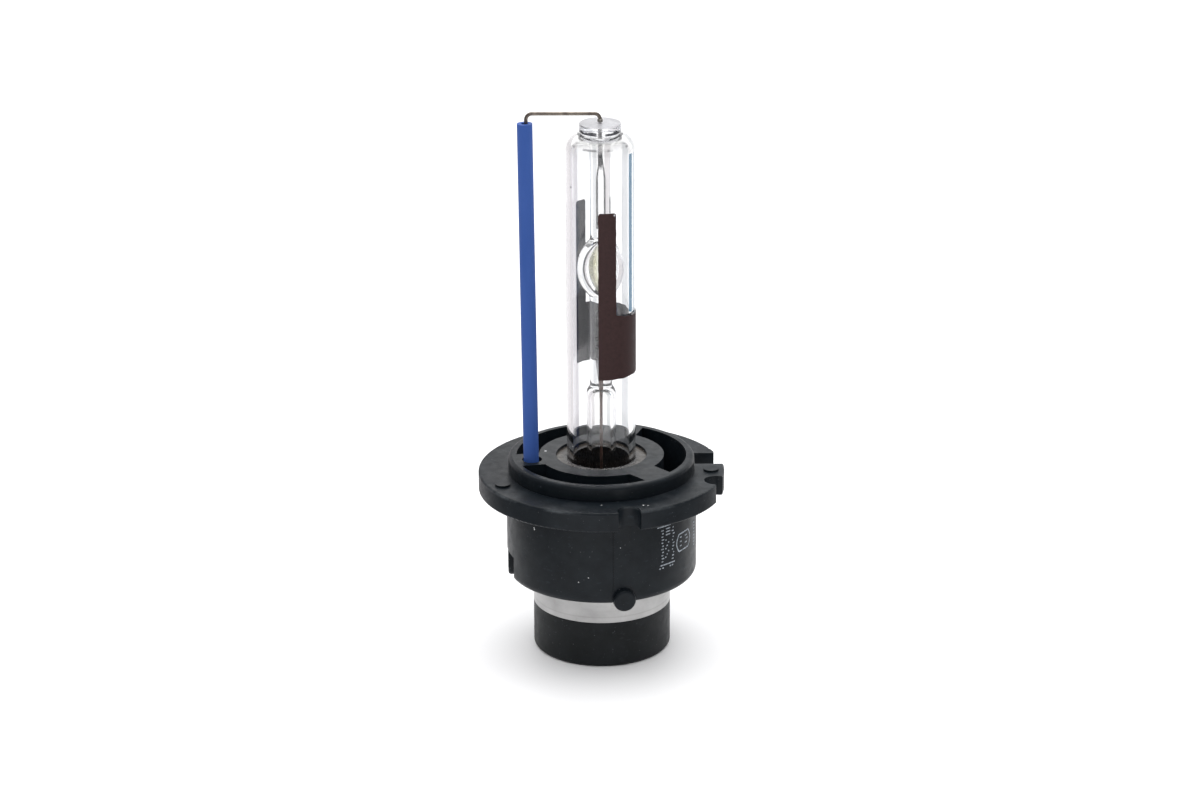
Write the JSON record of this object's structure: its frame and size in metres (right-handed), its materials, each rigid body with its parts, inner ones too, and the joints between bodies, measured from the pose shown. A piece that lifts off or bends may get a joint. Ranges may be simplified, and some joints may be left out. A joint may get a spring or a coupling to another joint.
{
  "type": "headlight bulb",
  "caption": "Gas-discharge headlight bulb: quartz burner in a jacket with painted shield stripes, insulated return wire and a keyed flange base with a socket end.",
  "frame": {"origin": "centre of the base's lower end face, on the lamp axis", "axes": "+Z along the lamp axis towards the tip, +X towards the flange's key tab, -Y towards the front stripe"},
  "size_m": [0.0322, 0.0322, 0.0733],
  "materials": {
    "black_moulding": "black glass-filled moulding, satin on its top faces",
    "socket_moulding": "black matte moulding",
    "ring_metal": "bright tinned ring with fine scuffs",
    "pin_metal": "plated contact pin",
    "white_ceramic": "plain fired ceramic",
    "potting": "dark poured resin",
    "weld_metal": "dull weld bead",
    "cement": "glossy brown-grey cement",
    "jacket_quartz": "clear quartz",
    "cap_quartz": "fused quartz, slightly clouded",
    "arc_quartz": "clear thick-walled quartz",
    "tungsten": "dark drawn tungsten",
    "molybdenum": "thin grey foil",
    "lead_metal": "grey drawn wire",
    "oxidised_lead": "red-brown oxidised wire",
    "salts": "thin yellow-green salt film",
    "mercury": "liquid metal bead",
    "blue_insulation": "smooth blue glaze",
    "wire_metal": "grey-brown heat-tinted wire",
    "shield_paint": "dark brown heat-proof paint"
  },
  "bodies": {
    "root": {"base_housing": "black_moulding", "connector_body": "socket_moulding", "contact_ring": "ring_metal", "centre_contact": "pin_metal", "lead_sleeve": "white_ceramic", "base_potting": "potting", "ring_weld": "weld_metal", "hub_cement": "cement", "outer_jacket": "jacket_quartz", "seal_cap": "cap_quartz", "arc_tube": "arc_quartz", "upper_electrode": "tungsten", "lower_electrode": "tungsten", "upper_foil": "molybdenum", "lower_foil": "molybdenum", "upper_lead": "lead_metal", "lower_lead": "oxidised_lead", "halide_salts": "salts", "mercury_bead": "mercury", "insulator_tube": "blue_insulation", "return_wire": "wire_metal", "top_weld": "weld_metal", "shield_coating": "shield_paint"}
  },
  "joints": []
}
